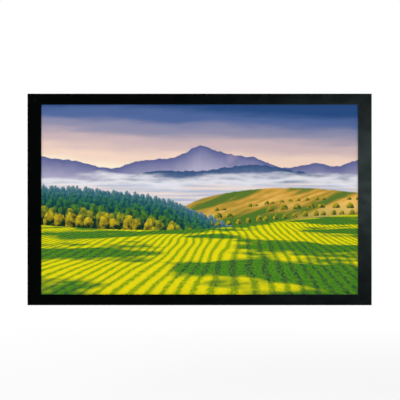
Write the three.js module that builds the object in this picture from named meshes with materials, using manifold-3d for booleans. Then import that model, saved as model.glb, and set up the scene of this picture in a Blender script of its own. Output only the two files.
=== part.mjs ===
// Fixed frame projector screen. A matt white screen surface is pulled flat by sprung rods inside a
// mitred aluminium frame, whose front is wrapped in black velvet, and five steel brackets hang it on a wall.
// Millimetres. +X is to the right seen from the front, +Z is up, and the picture side faces -Y.
// The origin is on the wall, in the middle of the back face of the middle top bracket.
import * as THREE from "three";
import { mergeVertices } from "three/addons/utils/BufferGeometryUtils.js";
import Module from "manifold-3d";

const wasm = await Module();
wasm.setup();

// Driving dimensions.
const pictureWidth = 1900;
const pictureHeight = 1140;
const sideRailWidth = 80;
const crossRailWidth = 63;
const frameDepth = 40;

// Rail section. Depths are measured forwards from the frame's back plane, drops inwards from its outer edge.
const faceFall = 9;
const outerRadius = 5;
const innerRadius = 3;
const outerArcSteps = 4;
const innerArcSteps = 3;
const railWall = 2;
const webDepth = 20;
const mitreGap = 0.3;

// Velvet wrap.
const velvetThickness = 0.8;
const glueLayer = 0.1;
const velvetReturn = 6;

// Back lip that hangs on the brackets, and the hooked rib that the springs pull on.
const backLipReach = 9;
const ribThickness = 2;
const ribDepth = 12;
const ribLipReach = 3;
const ribLipThickness = 2;

// Screen surface and its hems.
const sheetThickness = 0.5;
const hemGap = 0.3;
const hemArcSteps = 4;
const weldReach = 16;
const hemOverrun = 4;

// Tension rods and springs.
const rodRadius = 2.5;
const rodInset = 22;
const rodShortfall = 2;
const rodSides = 8;
const crossSprings = 12;
const sideSprings = 7;
const wireThickness = 1.2;
const wireBite = 0.2;
const springReach = 24;
const coilRadius = 3.5;
const coilLength = 12;
const coilStart = 5;
const hemNotchWidth = 14;
const hemNotchInner = 6;
const hemNotchOuter = 5;

// Corner plates and their screws.
const plateInset = 15;
const plateWidth = 20;
const plateThickness = 4;
const plateLength = 140;
const screwFromPlateBend = 25;
const screwFromPlateEnd = 10;
const screwRadius = 2.1;
const screwHeadRadius = 4;
const screwHeadHeight = 2.2;
const screwPastPlate = 1.5;
const socketRadius = 1.5;
const socketDepth = 1.2;
const holeClearance = 0.4;

// Support bar.
const barWidth = 36;
const barWall = 1.5;
const barFromBack = 1;
const barPastRib = 1;
const plugLength = 24;
const capHookWall = 1.3;
const capBarb = 2;
const capBackDepth = 6;

// Wall brackets.
const bracketThickness = 2.5;
const bracketWidth = 80;
const bracketPlate = 40;
const bracketFlange = 5.5;
const bracketLipGap = 0.5;
const slotWidth = 6;
const slotLength = 16;
const slotSpread = 28;
const topBracketSpread = 620;
const bottomBracketSpread = 480;

// Picture on the screen: its texels, and the colours of its plain fields.
const pictureTexels = 380;
const pictureColours = {
  skyTop: 0x46608f,
  skyLow: 0xf3d6c2,
  peaks: 0x7d88b0,
  hills: 0x51658c,
  lake: 0xd5d8e2,
  wood: 0x0e4b4a,
  slope: 0xcfa955,
  crop: 0xd9cf12,
  furrow: 0x3f8a1c,
  bare: 0xf2f2ef,
};
const cropRows = 26;

// Clearance between pieces that touch in the real thing.
const seatGap = 0.3;
const roundSides = 12;
const cutPast = 1;

// Worked out from the sizes above.
const overallWidth = pictureWidth + 2 * sideRailWidth;
const overallHeight = pictureHeight + 2 * crossRailWidth;
const wallGap = bracketThickness + seatGap;
const skin = velvetThickness + glueLayer;
const webFront = webDepth + railWall;
const sheetFront = webDepth - skin - seatGap;
const sheetBack = sheetFront - sheetThickness;
const hemInner = rodRadius + hemGap;
const hemOuter = hemInner + sheetThickness;
const rodDepth = sheetBack - hemInner;
const barDepth = rodDepth - hemOuter - seatGap - barFromBack;
const screwDrop = plateInset + plateWidth / 2;
const screwFromCorner = [plateInset + plateWidth + screwFromPlateBend, plateLength - screwFromPlateEnd];
const plateBack = webFront + seatGap;
const bracketArmDrop = skin + backLipReach + seatGap;
const bracketCentreDrop = bracketArmDrop + bracketThickness + bracketPlate / 2;

const velvet = new THREE.MeshStandardMaterial({ color: 0x0b0c0c, roughness: 1, metalness: 0 });
const aluminium = new THREE.MeshStandardMaterial({ color: 0xb4b7b9, roughness: 0.45, metalness: 1 });
const zincSteel = new THREE.MeshStandardMaterial({ color: 0xa9adb0, roughness: 0.4, metalness: 1 });
const springSteel = new THREE.MeshStandardMaterial({ color: 0xc2c3c1, roughness: 0.3, metalness: 1 });
const blackPaint = new THREE.MeshStandardMaterial({ color: 0x17181a, roughness: 0.6, metalness: 0 });
const blackNylon = new THREE.MeshStandardMaterial({ color: 0x1b1c1d, roughness: 0.5, metalness: 0 });

// Which plain field a place in the picture belongs to, with u from 0 to 1 across it and v from 0 to 1 up it.
function pictureField(u, v) {
  const peak = (waves, phase) => 1 - Math.abs(Math.sin(waves * u + phase));
  const peaks = 0.66 + 0.11 * peak(5.2, 0.4) + 0.03 * peak(17, 1.1);
  const hills = 0.63 + 0.04 * Math.sin(6 * u + 4.2) + 0.012 * Math.sin(21 * u);
  const shore = 0.53 + 0.02 * Math.sin(7 * u + 2);
  const wood = 0.5 + 0.07 * Math.cos(2.6 * u) + 0.008 * Math.sin(90 * u);
  const fieldEdge = 0.4 - 0.06 * Math.sin(3 * u + 0.6);
  const row = Math.sin(cropRows * Math.atan2(u - 0.62, fieldEdge + 0.12 - v) * 2);
  if (v > peaks) return "sky";
  if (v > hills) return "peaks";
  if (v > Math.max(shore, wood)) return v > shore + 0.05 ? "hills" : "lake";
  if (v > fieldEdge) return u < 0.5 + 0.6 * (0.55 - v) ? "wood" : "slope";
  return row > 0 ? "crop" : "furrow";
}

// The picture as a texture, with bare screen along its border.
function pictureTexture() {
  const across = pictureTexels;
  const up = Math.round((across * pictureHeight) / pictureWidth);
  const data = new Uint8Array(4 * across * up);
  const field = new THREE.Color();
  const low = new THREE.Color(pictureColours.skyLow);
  for (let i = 0; i < across * up; i++) {
    const u = (i % across) / (across - 1);
    const v = Math.floor(i / across) / (up - 1);
    const border = u === 0 || v === 0 || u === 1 || v === 1;
    const name = border ? "bare" : pictureField(u, v);
    if (name === "sky") field.set(pictureColours.skyTop).lerp(low, 3 * (1 - v));
    else field.set(pictureColours[name]);
    const { r, g, b } = field.clone().convertLinearToSRGB();
    data.set([255 * r, 255 * g, 255 * b, 255], 4 * i);
  }
  const texture = new THREE.DataTexture(data, across, up);
  texture.colorSpace = THREE.SRGBColorSpace;
  texture.magFilter = THREE.LinearFilter;
  texture.needsUpdate = true;
  return texture;
}

const screenWhite = new THREE.MeshStandardMaterial({ map: pictureTexture(), roughness: 0.95, metalness: 0 });

// Lays the picture on the front of the screen surface, and the bare border texel on its other faces.
function withPicture(geometry) {
  const position = geometry.getAttribute("position");
  const uv = new Float32Array(2 * position.count);
  for (let i = 0; i < position.count; i++) {
    const onFront = position.getY(i) < -wallGap - (sheetFront + sheetBack) / 2;
    uv[2 * i] = onFront ? position.getX(i) / pictureWidth + 0.5 : 0;
    uv[2 * i + 1] = onFront ? position.getZ(i) / pictureHeight + 0.5 : 0;
  }
  geometry.setAttribute("uv", new THREE.BufferAttribute(uv, 2));
  return geometry;
}

// A closed three.js geometry as a solid that can be joined and cut.
function solidOf(geometry) {
  const bare = new THREE.BufferGeometry();
  bare.setAttribute("position", geometry.getAttribute("position"));
  if (geometry.index) bare.setIndex(geometry.index);
  const merged = mergeVertices(bare, 1e-4);
  return new wasm.Manifold(
    new wasm.Mesh({
      numProp: 3,
      vertProperties: new Float32Array(merged.getAttribute("position").array),
      triVerts: new Uint32Array(merged.index.array),
    }),
  );
}

function geometryOf(solid) {
  const mesh = solid.getMesh();
  const geometry = new THREE.BufferGeometry();
  geometry.setAttribute("position", new THREE.BufferAttribute(new Float32Array(mesh.vertProperties), 3));
  geometry.setIndex(new THREE.BufferAttribute(new Uint32Array(mesh.triVerts), 1));
  geometry.computeVertexNormals();
  return geometry;
}

function named(name, geometry, material) {
  const mesh = new THREE.Mesh(geometry, material);
  mesh.name = name;
  return mesh;
}

// Points on an arc, from one angle to another in degrees.
function arc(centreX, centreY, radius, from, to, steps) {
  return Array.from({ length: steps + 1 }, (_, i) => {
    const angle = THREE.MathUtils.degToRad(from + ((to - from) * i) / steps);
    return [centreX + radius * Math.cos(angle), centreY + radius * Math.sin(angle)];
  });
}

function shapeOf(points, hole) {
  const shape = new THREE.Shape(points.map(([x, y]) => new THREE.Vector2(x, y)));
  if (hole) shape.holes.push(new THREE.Path(hole.map(([x, y]) => new THREE.Vector2(x, y))));
  return shape;
}

// A section of [drop, depth] points, drawn in the plane that X crosses: Y runs back and Z runs outwards.
function sectionShape(points, hole) {
  const turned = (list) => list.map(([drop, depth]) => [-wallGap - depth, -drop]);
  return shapeOf(turned(points), hole && turned(hole));
}

// A section extruded along X, from one place to another.
function alongX(shape, from, to) {
  const geometry = new THREE.ExtrudeGeometry(shape, { depth: to - from, bevelEnabled: false });
  const position = geometry.getAttribute("position");
  for (let i = 0; i < position.count; i++)
    position.setXYZ(i, position.getZ(i) + from, position.getX(i), position.getY(i));
  return geometry;
}

// A section along X with mitred ends, which draw in by mitreRun for each millimetre of drop.
function mitredAlongX(shape, outerLength, mitreRun) {
  const geometry = alongX(shape, 0, 1);
  const position = geometry.getAttribute("position");
  for (let i = 0; i < position.count; i++) {
    const half = (outerLength - mitreGap) / 2 + position.getZ(i) * mitreRun;
    position.setX(i, position.getX(i) > 0.5 ? half : -half);
  }
  return geometry;
}

// A shape in the plane of the frame, with Z up, extruded backwards from a front depth to a back one.
function alongDepth(shape, frontDepth, backDepth) {
  const geometry = new THREE.ExtrudeGeometry(shape, {
    depth: frontDepth - backDepth,
    bevelEnabled: false,
    curveSegments: roundSides / 2,
  });
  const position = geometry.getAttribute("position");
  for (let i = 0; i < position.count; i++)
    position.setXYZ(i, position.getX(i), -wallGap - backDepth - position.getZ(i), position.getY(i));
  return geometry;
}

// A round bar along the depth, at a place in the plane of the frame.
function pin(x, z, radius, frontDepth, backDepth) {
  const geometry = new THREE.CylinderGeometry(radius, radius, frontDepth - backDepth, roundSides);
  return geometry.translate(x, -wallGap - (frontDepth + backDepth) / 2, z);
}

// The outline of a bent wire or strip of one thickness that follows a line of points.
function ribbon(points, thickness) {
  const normals = points.map((_, i) => {
    const [x0, y0] = points[Math.max(i - 1, 0)];
    const [x1, y1] = points[Math.min(i + 1, points.length - 1)];
    const length = Math.hypot(x1 - x0, y1 - y0);
    return [(y0 - y1) / length, (x1 - x0) / length];
  });
  const beside = (side) =>
    points.map(([x, y], i) => [
      x + (normals[i][0] * side * thickness) / 2,
      y + (normals[i][1] * side * thickness) / 2,
    ]);
  return [...beside(1), ...beside(-1).reverse()];
}

// The front of a rail, from its outer wall to its lip, set in from the velvet's surface.
function frontContour(width, inset) {
  const rimDepth = frameDepth - outerRadius;
  const lipDepth = frameDepth - faceFall - innerRadius;
  return [
    ...arc(outerRadius, rimDepth, outerRadius - inset, 180, 90, outerArcSteps),
    ...arc(width - innerRadius, lipDepth, innerRadius - inset, 90, 0, innerArcSteps),
  ];
}

// Aluminium extrusion: a hollow front chamber, a back lip to hang by and a hooked rib for the springs.
function railShape(width) {
  const rib = width - rodInset - springReach;
  const inside = skin + railWall;
  const outline = [
    [skin, 0],
    ...frontContour(width, skin),
    [width - skin, webDepth],
    [rib + ribThickness, webDepth],
    [rib + ribThickness, ribDepth],
    [rib - ribLipReach, ribDepth],
    [rib - ribLipReach, ribDepth + ribLipThickness],
    [rib, ribDepth + ribLipThickness],
    [rib, webDepth],
    [inside, webDepth],
    [inside, railWall],
    [skin + backLipReach, railWall],
    [skin + backLipReach, 0],
  ];
  const chamber = [
    [inside, webFront],
    [inside, frameDepth - outerRadius],
    [outerRadius, frameDepth - inside],
    [width - inside, frameDepth - faceFall - inside],
    [width - inside, webFront],
  ];
  return sectionShape(outline, chamber);
}

function rail(width, length, mitreRun) {
  let solid = solidOf(mitredAlongX(railShape(width), length, mitreRun));
  for (const fromCorner of screwFromCorner)
    for (const end of [-1, 1]) {
      const x = end * (length / 2 - fromCorner);
      const radius = screwRadius + holeClearance;
      solid = solid.subtract(solidOf(pin(x, -screwDrop, radius, webFront + cutPast, webDepth - cutPast)));
    }
  return geometryOf(solid);
}

// Velvet glued over the front of a rail and turned in under its lip.
function velvetWrap(width, length, mitreRun) {
  const turnedIn = width - velvetReturn;
  const outline = [
    [0, 0],
    ...frontContour(width, 0),
    [width, webDepth - skin],
    [turnedIn, webDepth - skin],
    [turnedIn, webDepth - glueLayer],
    [width - velvetThickness, webDepth - glueLayer],
    ...frontContour(width, velvetThickness).reverse(),
    [velvetThickness, 0],
  ];
  return mitredAlongX(sectionShape(outline), length, mitreRun);
}

// Places of the springs along a rod.
function springPlaces(span, count) {
  return Array.from({ length: count }, (_, i) => (i - (count - 1) / 2) * (span / count));
}

// One spring: a wire that hooks the rod and the rail's rib, with its coil between them.
function spring(x, rodDrop) {
  const lipEnd = rodDrop - springReach - ribLipReach;
  const wireHalf = wireThickness / 2;
  const loopRadius = rodRadius + wireHalf - wireBite;
  const behindRib = ribDepth - seatGap - wireHalf;
  const pastLip = lipEnd - seatGap - wireHalf;
  const overLip = ribDepth + ribLipThickness + seatGap + wireHalf;
  const wire = [
    ...arc(rodDrop, rodDepth, loopRadius, 60, -90, 5),
    [rodDrop - springReach + ribThickness, behindRib],
    [pastLip, behindRib],
    [pastLip, overLip],
    [lipEnd + ribLipReach - wireThickness, overLip],
  ];
  const section = sectionShape(ribbon(wire, wireThickness));
  const bent = solidOf(alongX(section, x - wireHalf, x + wireHalf));
  const coil = new THREE.CylinderGeometry(coilRadius, coilRadius, coilLength, rodSides);
  const coilDepth = (rodDepth - loopRadius + behindRib) / 2;
  coil.rotateX(Math.PI / 2).translate(x, -wallGap - coilDepth, -(rodDrop - coilStart - coilLength / 2));
  return bent.add(solidOf(coil));
}

// Glass fibre rod with its row of springs.
function tensionRod(width, span, count) {
  const rodDrop = width - rodInset;
  const rod = new THREE.CylinderGeometry(rodRadius, rodRadius, span + 2 * rodShortfall, rodSides);
  rod.rotateZ(Math.PI / 2).translate(0, -wallGap - rodDepth, -rodDrop);
  let solid = solidOf(rod);
  for (const x of springPlaces(span, count)) solid = solid.add(spring(x, rodDrop));
  return geometryOf(solid);
}

// One hem, on the line of its rod: the sheet folded round the rod and welded to its own back.
function hem(span, count) {
  const slope = (sheetBack - (rodDepth - hemOuter)) / weldReach;
  const outline = [
    ...arc(0, rodDepth, hemOuter, 270, 90, hemArcSteps),
    [weldReach, sheetFront],
    [weldReach, sheetBack],
  ];
  const pocket = [
    ...arc(0, rodDepth, hemInner, 270, 90, hemArcSteps),
    [(2 * hemInner) / slope - sheetThickness, sheetBack],
  ];
  const half = span / 2 + hemOverrun;
  let solid = solidOf(alongX(sectionShape(outline, pocket), -half, half));
  const notch = [
    [-hemNotchOuter, rodDepth - hemOuter - cutPast],
    [hemNotchInner, rodDepth - hemOuter - cutPast],
    [hemNotchInner, sheetFront + cutPast],
    [-hemNotchOuter, sheetFront + cutPast],
  ];
  for (const x of springPlaces(span, count)) {
    const cut = alongX(sectionShape(notch), x - hemNotchWidth / 2, x + hemNotchWidth / 2);
    solid = solid.subtract(solidOf(cut));
  }
  return solid;
}

function plate(halfWidth, halfHeight) {
  const corners = [
    [-halfWidth, -halfHeight],
    [halfWidth, -halfHeight],
    [halfWidth, halfHeight],
    [-halfWidth, halfHeight],
  ];
  return solidOf(alongDepth(shapeOf(corners), sheetFront, sheetBack));
}

// The whole screen surface: a flat sheet with a hem on each side and its corners cut away.
function screenSurface() {
  const flatX = pictureWidth / 2 + rodInset - hemNotchInner;
  const flatZ = pictureHeight / 2 + rodInset - hemNotchInner;
  let solid = plate(flatX, pictureHeight / 2 + hemOverrun);
  solid = solid.add(plate(pictureWidth / 2 + hemOverrun, flatZ));
  for (const side of sides) {
    const hemSolid = hem(side.span, side.springs).translate([0, 0, side.span2 / 2 + rodInset]);
    solid = solid.add(hemSolid.rotate([0, side.turn, 0]));
  }
  return withPicture(geometryOf(solid));
}

// L-shaped steel plate inside a corner, from the frame's outer corner inwards.
function cornerPlate() {
  const inner = plateInset + plateWidth;
  const outline = [
    [-plateInset, -plateInset],
    [-plateLength, -plateInset],
    [-plateLength, -inner],
    [-inner, -inner],
    [-inner, -plateLength],
    [-plateInset, -plateLength],
  ];
  const plateFront = plateBack + plateThickness;
  let solid = solidOf(alongDepth(shapeOf(outline), plateFront, plateBack));
  for (const [x, z] of cornerScrewPlaces()) {
    const radius = screwRadius + holeClearance;
    const hole = pin(x, z, radius, plateFront + cutPast, plateBack - cutPast);
    solid = solid.subtract(solidOf(hole));
  }
  return geometryOf(solid);
}

function cornerScrewPlaces() {
  return screwFromCorner.flatMap((far) => [
    [-far, -screwDrop],
    [-screwDrop, -far],
  ]);
}

// Socket-headed screw, with its head against the back of the rail's web.
function cornerScrew(x, z) {
  const headFront = webDepth - seatGap;
  const headBack = headFront - screwHeadHeight;
  const tip = plateBack + plateThickness + screwPastPlate;
  const head = solidOf(pin(x, z, screwHeadRadius, headFront, headBack));
  const shank = solidOf(pin(x, z, screwRadius, tip, headFront - cutPast));
  const socket = new THREE.CylinderGeometry(socketRadius, socketRadius, socketDepth + cutPast, 6);
  socket.translate(x, -wallGap - headBack - (socketDepth - cutPast) / 2, z);
  return geometryOf(head.add(shank).subtract(solidOf(socket)));
}

// Upright tube behind the screen that keeps the top and bottom rails from bowing.
function supportBar(half) {
  const front = -wallGap - barFromBack - barDepth;
  const back = -wallGap - barFromBack;
  const rectangle = (inset) => [
    [-barWidth / 2 + inset, front + inset],
    [barWidth / 2 - inset, front + inset],
    [barWidth / 2 - inset, back - inset],
    [-barWidth / 2 + inset, back - inset],
  ];
  const shape = shapeOf(rectangle(0), rectangle(barWall));
  const geometry = new THREE.ExtrudeGeometry(shape, { depth: 2 * half, bevelEnabled: false });
  return geometry.translate(0, 0, -half);
}

// Nylon cap plugged into the end of the bar, with a hook that clips over the lip of the rail's rib.
function barCap() {
  const rib = crossRailWidth - rodInset - springReach;
  const barEnd = rib + ribThickness + barPastRib;
  const inner = barWall + seatGap;
  const plugBack = barFromBack + inner;
  const plugFront = barFromBack + barDepth - inner;
  const lipEnd = rib - ribLipReach - seatGap;
  const shoulder = ribDepth - seatGap;
  const lipFront = ribDepth + ribLipThickness + seatGap;
  const outline = [
    [barEnd + plugLength, plugBack],
    [barEnd + plugLength, plugFront],
    [barEnd - seatGap, plugFront],
    [barEnd - seatGap, shoulder],
    [lipEnd, shoulder],
    [lipEnd, lipFront],
    [lipEnd + capBarb, lipFront],
    [lipEnd + capBarb, lipFront + capBarb],
    [lipEnd - capHookWall, lipFront + capBarb],
    [lipEnd - capHookWall, capBackDepth],
    [barEnd - seatGap, capBackDepth],
    [barEnd - seatGap, plugBack],
  ];
  const half = barWidth / 2 - inner;
  return alongX(sectionShape(outline), -half, half);
}

// Folded steel bracket: a slotted plate on the wall, an arm and a flange that holds the rail's back lip.
function wallBracket(x) {
  const lipFront = railWall + bracketLipGap;
  const flangeFront = lipFront + bracketThickness;
  const armEnd = bracketArmDrop + bracketThickness;
  const flangeTop = bracketArmDrop - bracketFlange;
  const outline = [
    [bracketArmDrop, -wallGap],
    [bracketArmDrop, lipFront],
    [flangeTop, lipFront],
    [flangeTop, flangeFront],
    [armEnd, flangeFront],
    [armEnd, bracketThickness - wallGap],
    [armEnd + bracketPlate, bracketThickness - wallGap],
    [armEnd + bracketPlate, -wallGap],
  ];
  let solid = solidOf(alongX(sectionShape(outline), x - bracketWidth / 2, x + bracketWidth / 2));
  for (const end of [-1, 1]) {
    const slot = slotShape(x + end * slotSpread, -bracketCentreDrop);
    solid = solid.subtract(solidOf(alongDepth(slot, cutPast, -wallGap - cutPast)));
  }
  return geometryOf(solid);
}

function slotShape(x, z) {
  const radius = slotWidth / 2;
  const reach = (slotLength - slotWidth) / 2;
  return shapeOf([
    ...arc(x + reach, z, radius, -90, 90, roundSides / 2),
    ...arc(x - reach, z, radius, 90, 270, roundSides / 2),
  ]);
}

// The four sides. span is the picture's size along the side and span2 its size across it.
const mitreSlope = sideRailWidth / crossRailWidth;
const sides = [
  { name: "top", turn: 0, cross: true },
  { name: "right", turn: 90, cross: false },
  { name: "bottom", turn: 180, cross: true },
  { name: "left", turn: 270, cross: false },
].map((side) => ({
  ...side,
  width: side.cross ? crossRailWidth : sideRailWidth,
  length: side.cross ? overallWidth : overallHeight,
  reach: (side.cross ? overallHeight : overallWidth) / 2,
  span: side.cross ? pictureWidth : pictureHeight,
  span2: side.cross ? pictureHeight : pictureWidth,
  springs: side.cross ? crossSprings : sideSprings,
  mitreRun: side.cross ? mitreSlope : 1 / mitreSlope,
}));

// A side's own group: X runs along its rail and Z points outwards, with Z = 0 on the outer edge.
function sideGroup(side) {
  const group = new THREE.Group();
  const angle = THREE.MathUtils.degToRad(side.turn);
  group.rotation.y = angle;
  group.position.set(side.reach * Math.sin(angle), 0, side.reach * Math.cos(angle));
  const { name, width, length, mitreRun, span, springs } = side;
  group.add(named(`${name}_rail`, rail(width, length, mitreRun), aluminium));
  group.add(named(`${name}_velvet_wrap`, velvetWrap(width, length, mitreRun), velvet));
  group.add(named(`${name}_tension_rod`, tensionRod(width, span, springs), springSteel));
  return group;
}

// A corner's own group, with its origin on the frame's outer corner.
function cornerGroup(name, turn) {
  const group = new THREE.Group();
  const angle = THREE.MathUtils.degToRad(turn);
  const right = turn < 180 ? 1 : -1;
  const up = turn === 0 || turn === 270 ? 1 : -1;
  group.rotation.y = angle;
  group.position.set((right * overallWidth) / 2, 0, (up * overallHeight) / 2);
  group.add(named(`${name}_corner_plate`, cornerPlate(), zincSteel));
  cornerScrewPlaces().forEach(([x, z], i) => {
    group.add(named(`${name}_corner_screw_${i + 1}`, cornerScrew(x, z), zincSteel));
  });
  return group;
}

const frameGroups = sides.map(sideGroup);
const [topGroup, , bottomGroup] = frameGroups;
for (const [name, x] of [["left", -topBracketSpread], ["centre", 0], ["right", topBracketSpread]])
  topGroup.add(named(`wall_bracket_top_${name}`, wallBracket(x), blackPaint));
for (const [name, x] of [["left", bottomBracketSpread], ["right", -bottomBracketSpread]])
  bottomGroup.add(named(`wall_bracket_bottom_${name}`, wallBracket(x), blackPaint));
topGroup.add(named("support_bar_top_cap", barCap(), blackNylon));
bottomGroup.add(named("support_bar_bottom_cap", barCap(), blackNylon));

const screen = new THREE.Group();
screen.name = "fixed_frame_projector_screen";
screen.add(...frameGroups);
screen.add(cornerGroup("top_right", 0));
screen.add(cornerGroup("bottom_right", 90));
screen.add(cornerGroup("bottom_left", 180));
screen.add(cornerGroup("top_left", 270));
const barEndDrop = crossRailWidth - rodInset - springReach + ribThickness + barPastRib;
screen.add(named("support_bar", supportBar(overallHeight / 2 - barEndDrop), aluminium));
screen.add(named("screen_surface", screenSurface(), screenWhite));
screen.position.z = bracketCentreDrop - overallHeight / 2;

const model = new THREE.Group();
model.add(screen);

export default model;
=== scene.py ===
import math

import bmesh
import bpy
from bpy.props import FloatProperty, FloatVectorProperty, IntProperty, PointerProperty
from mathutils import Matrix, Vector


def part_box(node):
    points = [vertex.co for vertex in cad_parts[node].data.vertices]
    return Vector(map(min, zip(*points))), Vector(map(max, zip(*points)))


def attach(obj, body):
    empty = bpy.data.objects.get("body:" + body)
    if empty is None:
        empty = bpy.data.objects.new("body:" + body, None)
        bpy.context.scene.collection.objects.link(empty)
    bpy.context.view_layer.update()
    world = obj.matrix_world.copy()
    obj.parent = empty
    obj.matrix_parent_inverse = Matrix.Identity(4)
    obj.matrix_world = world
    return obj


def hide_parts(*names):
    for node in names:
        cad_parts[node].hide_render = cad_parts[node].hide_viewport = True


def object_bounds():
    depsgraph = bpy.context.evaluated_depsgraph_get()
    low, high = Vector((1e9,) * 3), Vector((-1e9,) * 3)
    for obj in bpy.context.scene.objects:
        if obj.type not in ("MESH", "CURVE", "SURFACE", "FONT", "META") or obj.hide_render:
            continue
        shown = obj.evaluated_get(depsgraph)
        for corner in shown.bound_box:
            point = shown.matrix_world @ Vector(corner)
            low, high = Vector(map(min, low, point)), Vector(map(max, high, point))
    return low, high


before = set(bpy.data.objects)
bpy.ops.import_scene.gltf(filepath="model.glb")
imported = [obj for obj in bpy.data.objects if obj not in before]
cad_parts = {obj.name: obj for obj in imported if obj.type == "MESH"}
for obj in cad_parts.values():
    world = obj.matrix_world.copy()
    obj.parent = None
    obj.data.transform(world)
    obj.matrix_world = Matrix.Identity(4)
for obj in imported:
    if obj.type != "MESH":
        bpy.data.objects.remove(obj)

bl_info = {
    "name": "Fixed frame projector screen",
    "version": (1, 0, 0),
    "blender": (4, 5, 0),
    "location": "3D View > Sidebar > Screen",
    "description": "Builds a velvet-framed projector screen round its packed solids",
    "category": "Add Mesh",
}

# A fixed frame projector screen: its velvet, film, springs and metal, and the stage round it.
MM = 0.001
UV_NAME = "OFBake"
CAD_LOW, CAD_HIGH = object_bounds()


def corners(node):
    """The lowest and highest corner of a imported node, as vectors."""
    return tuple(Vector(corner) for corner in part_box(node))


MAIN_SETTINGS = {"Mix": "data_type", "TexNoise": "noise_dimensions", "TexVoronoi": "voronoi_dimensions"}
# Nearly all values of a noise lie in its span, and most of them in its core
NOISE_SPAN = (0.3, 0.7)
NOISE_CORE = (0.35, 0.65)
# The film's map: the metres of film across it, and the height on it of the frame's top
MAP_SPAN = 2
MAP_TOP = 0.995
# Angles in degrees: creases in shading, and edges that are eased
CREASE, WIRE_CREASE = 35, 50
SHARP_EDGE = 40
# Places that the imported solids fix
TOP_WRAP = corners("top_velvet_wrap")
BOTTOM_WRAP = corners("bottom_velvet_wrap")
LEFT_WRAP = corners("left_velvet_wrap")
RIGHT_WRAP = corners("right_velvet_wrap")
FILM = corners("screen_surface")
MITRE_GAP = 2 * (TOP_WRAP[0].x - LEFT_WRAP[0].x)
FRAME_WIDTH = RIGHT_WRAP[1].x - LEFT_WRAP[0].x
FRAME_HEIGHT = TOP_WRAP[1].z - BOTTOM_WRAP[0].z
FRAME_CENTRE = Vector((0, 0, (TOP_WRAP[1].z + BOTTOM_WRAP[0].z) / 2))
FRAME_BACK = TOP_WRAP[1].y
FRAME_FRONT = TOP_WRAP[0].y
CROSS_WIDTH = TOP_WRAP[1].z - TOP_WRAP[0].z
SIDE_WIDTH = LEFT_WRAP[1].x - LEFT_WRAP[0].x
PICTURE_WIDTH = FRAME_WIDTH - 2 * SIDE_WIDTH
PICTURE_HEIGHT = FRAME_HEIGHT - 2 * CROSS_WIDTH
FILM_FRONT = FRAME_BACK - FILM[0].y

# The picture is drawn in its own height: from 0 to 1 up, and this far to either side
PICTURE_SIDE = PICTURE_WIDTH / PICTURE_HEIGHT / 2
# The field's rows, counted at one picture height's distance, and the point where they meet
CROP_ROWS = 6.5
ROWS_MEET = (0.2, 0.56)
DAWN = (
    (0, "#fff0d6"),
    (0.2, "#f3d6c4"),
    (0.42, "#cdb6b9"),
    (0.62, "#8f8fab"),
    (0.8, "#51689c"),
    (1, "#264a80"),
)
DRY_GRASS = ((0, "#2e5a34"), (0.4, "#5f7a2c"), (0.48, "#c99a3c"), (0.56, "#eebd5e"), (1, "#fbdc96"))
WOOD_SHADES = ("#2f6272", "#17505a", "#0a4048", "#07383c", "#053430", "#063226", "#082c1c")
WOOD_LIGHTS = ("#7f99a0", "#4f8278", "#3a7a5c", "#3c7c44", "#578a2c", "#a3a524", "#d6bd22")
# Hedges and lone trees on the slope: base line, crown heights, spacing, seed and share of places grown
HEDGES = (
    ((0.44, 0.44, 0.49, 0.498), (0.012, 0.022), 0.044, 11.3, 0.7),
    ((0.4, 0.4, 0.45, 0.453), (0.018, 0.038), 0.07, 23.9, 0.6),
    ((0.36, 0.36, 0.405, 0.425), (0.02, 0.034), 0.05, 31.1, 0.9),
)


def linear(hex_colour):
    """An sRGB hex colour as linear RGBA."""
    values = [int(hex_colour[i : i + 2], 16) / 255 for i in (1, 3, 5)]
    return (*[v / 12.92 if v <= 0.04045 else ((v + 0.055) / 1.055) ** 2.4 for v in values], 1)


def length(name, description, millimetres):
    """A property that holds one length."""
    return FloatProperty(name=name, description=description, default=millimetres * MM, unit="LENGTH")


def colour(name, description, hex_colour):
    """A property that holds one colour."""
    return FloatVectorProperty(
        name=name, description=description, default=linear(hex_colour)[:3], subtype="COLOR", min=0, max=1
    )


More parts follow.
